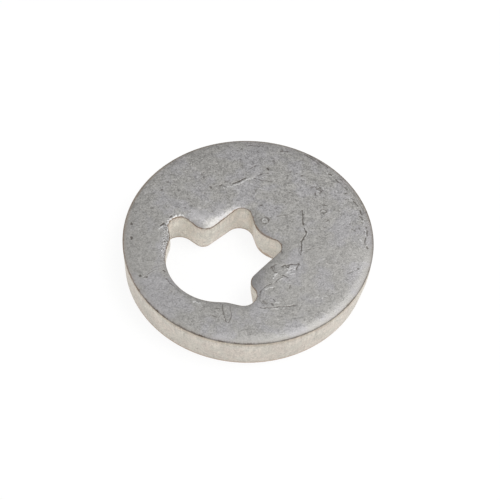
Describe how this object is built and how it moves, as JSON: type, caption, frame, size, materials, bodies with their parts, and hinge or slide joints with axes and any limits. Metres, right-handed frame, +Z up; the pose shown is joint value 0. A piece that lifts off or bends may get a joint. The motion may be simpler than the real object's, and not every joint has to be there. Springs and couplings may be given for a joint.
{
  "type": "washer",
  "caption": "Thick flat steel disc, blanked from plate, with an off-centre lobed hole that keys over a matching shaft or stud.",
  "frame": {"origin": "centre of the disc on its underside", "axes": "+Z up through the thickness, towards the side with the rolled edges; the hole's round bore lies towards -X and -Y"},
  "size_m": [0.032, 0.032, 0.005],
  "materials": {
    "steel_plate": "bare rolled steel plate, dull grey on the faces, warm pale matte on the sheared edges"
  },
  "bodies": {
    "root": {"washer": "steel_plate"}
  },
  "joints": []
}
